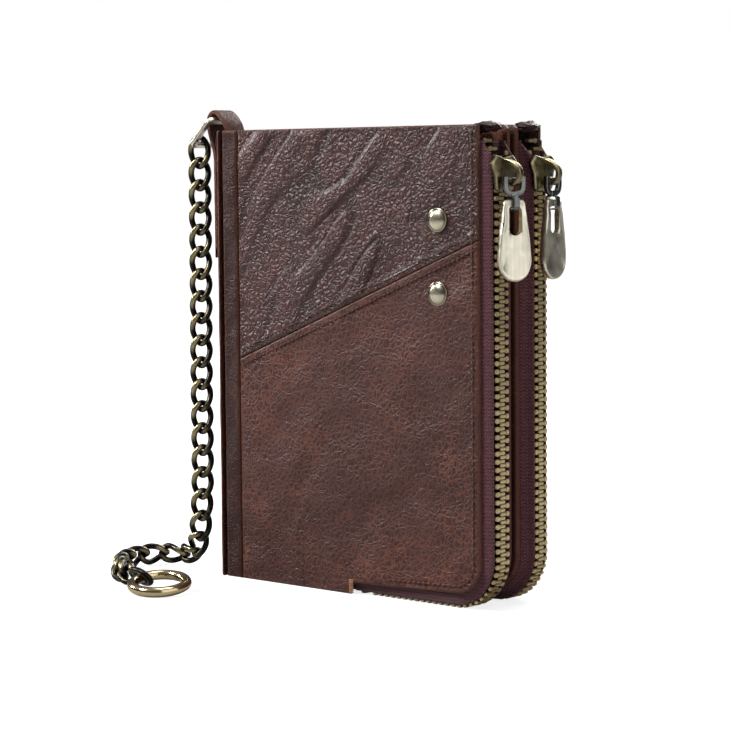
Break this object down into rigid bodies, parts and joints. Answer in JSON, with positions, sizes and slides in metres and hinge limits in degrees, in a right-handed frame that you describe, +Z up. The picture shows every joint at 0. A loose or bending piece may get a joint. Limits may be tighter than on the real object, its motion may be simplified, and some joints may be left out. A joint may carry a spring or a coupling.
{
  "type": "chain wallet",
  "caption": "Bifold leather wallet with two zipped pockets, domed rivets, teardrop zip pulls and a curb chain with an end ring.",
  "frame": {"origin": "on the surface that the closed wallet stands on, under the middle of its box, chain left out", "axes": "+X from the spine towards the zips, +Y from the front cover towards the rear cover, +Z up"},
  "size_m": [0.1357, 0.0668, 0.1308],
  "materials": {
    "cover_leather": "glossy crinkled pull-up leather",
    "edge_leather": "raw-edged leather",
    "lining_cloth": "woven lining",
    "zip_tape": "woven zip tape",
    "antique_brass": "antiqued, dark in the hollows",
    "brushed_brass": "brushed",
    "polished_brass": "polished",
    "dark_nickel": "dark nickel plate",
    "clear_window": "clear film"
  },
  "bodies": {
    "spine": {"spine_strip": "cover_leather", "spine_lining": "lining_cloth", "chain_loop": "edge_leather", "d_ring": "brushed_brass", "chain_hanging": "antique_brass", "chain_on_floor": "antique_brass"},
    "front_leaf": {"front_inner_panel": "cover_leather", "front_pocket_back": "lining_cloth", "front_binding": "edge_leather", "front_card_slots": "cover_leather", "front_inner_tape": "zip_tape", "front_inner_teeth": "antique_brass", "front_bottom_stop": "antique_brass", "front_top_gusset": "cover_leather"},
    "front_cover": {"front_upper_panel": "cover_leather", "front_lower_panel": "cover_leather", "front_edge_strip": "cover_leather", "front_cover_lining": "lining_cloth", "rivet_caps": "antique_brass", "rivet_posts": "antique_brass", "front_outer_tape": "zip_tape", "front_outer_teeth": "antique_brass"},
    "front_slider": {"front_slider": "antique_brass"},
    "front_pull_link": {"front_pull_link": "dark_nickel"},
    "front_pull_tab": {"front_pull_tab": "brushed_brass"},
    "rear_leaf": {"rear_inner_panel": "cover_leather", "rear_pocket_back": "lining_cloth", "rear_binding": "edge_leather", "rear_id_frame": "cover_leather", "rear_id_pane": "clear_window", "rear_inner_tape": "zip_tape", "rear_inner_teeth": "antique_brass", "rear_bottom_stop": "antique_brass", "rear_top_gusset": "cover_leather"},
    "rear_cover": {"rear_panel": "cover_leather", "rear_edge_strip": "cover_leather", "rear_cover_lining": "lining_cloth", "rear_outer_tape": "zip_tape", "rear_outer_teeth": "antique_brass"},
    "rear_slider": {"rear_slider": "antique_brass"},
    "rear_pull_link": {"rear_pull_link": "dark_nickel"},
    "rear_pull_tab": {"rear_pull_tab": "brushed_brass"},
    "end_ring": {"end_ring": "polished_brass"}
  },
  "joints": [
    {"name": "front_fold", "type": "hinge", "parent": "spine", "child": "front_leaf", "pos_m": [-0.0484, -0.0124, 0], "axis": [0, 0, -1], "range_deg": [0, 40]},
    {"name": "front_pocket_open", "type": "hinge", "parent": "front_leaf", "child": "front_cover", "pos_m": [-0.0484, -0.0124, 0], "axis": [0, 0, -1], "range_deg": [0, 16]},
    {"name": "front_zip_slide", "type": "slide", "parent": "front_leaf", "child": "front_slider", "axis": [0, 0, -1], "range_m": [0, 0.09], "deforming": ["front_outer_tape", "front_inner_tape", "front_outer_teeth", "front_inner_teeth"]},
    {"name": "front_link_swing", "type": "hinge", "parent": "front_slider", "child": "front_pull_link", "pos_m": [0.0521, -0.008, 0.1111], "axis": [-0.4067, -0.9135, 0], "range_deg": [0, 90]},
    {"name": "front_tab_swing", "type": "hinge", "parent": "front_pull_link", "child": "front_pull_tab", "pos_m": [0.0521, -0.008, 0.1049], "axis": [-0.4067, -0.9135, 0], "range_deg": [0, 50]},
    {"name": "rear_fold", "type": "hinge", "parent": "spine", "child": "rear_leaf", "pos_m": [-0.0484, 0.0124, 0], "axis": [0, 0, 1], "range_deg": [0, 140]},
    {"name": "rear_pocket_open", "type": "hinge", "parent": "rear_leaf", "child": "rear_cover", "pos_m": [-0.0484, 0.0124, 0], "axis": [0, 0, 1], "range_deg": [0, 16]},
    {"name": "rear_zip_slide", "type": "slide", "parent": "rear_leaf", "child": "rear_slider", "axis": [0, 0, -1], "range_m": [0, 0.09], "deforming": ["rear_outer_tape", "rear_inner_tape", "rear_outer_teeth", "rear_inner_teeth"]},
    {"name": "rear_link_swing", "type": "hinge", "parent": "rear_slider", "child": "rear_pull_link", "pos_m": [0.0521, 0.008, 0.1111], "axis": [0, -1, 0], "range_deg": [0, 90]},
    {"name": "rear_tab_swing", "type": "hinge", "parent": "rear_pull_link", "child": "rear_pull_tab", "pos_m": [0.0521, 0.008, 0.1049], "axis": [0, -1, 0], "range_deg": [0, 50]},
    {"name": "end_ring_lift", "type": "hinge", "parent": "spine", "child": "end_ring", "pos_m": [-0.04905, -0.04329, 0.00341], "axis": [-0.1644, -0.9864, 0], "range_deg": [0, 60]}
  ],
  "couplings": [
    {"joint": "front_pocket_open", "follows": "front_zip_slide", "rad_per_m": 3.1025},
    {"joint": "rear_pocket_open", "follows": "rear_zip_slide", "rad_per_m": 3.1025}
  ]
}
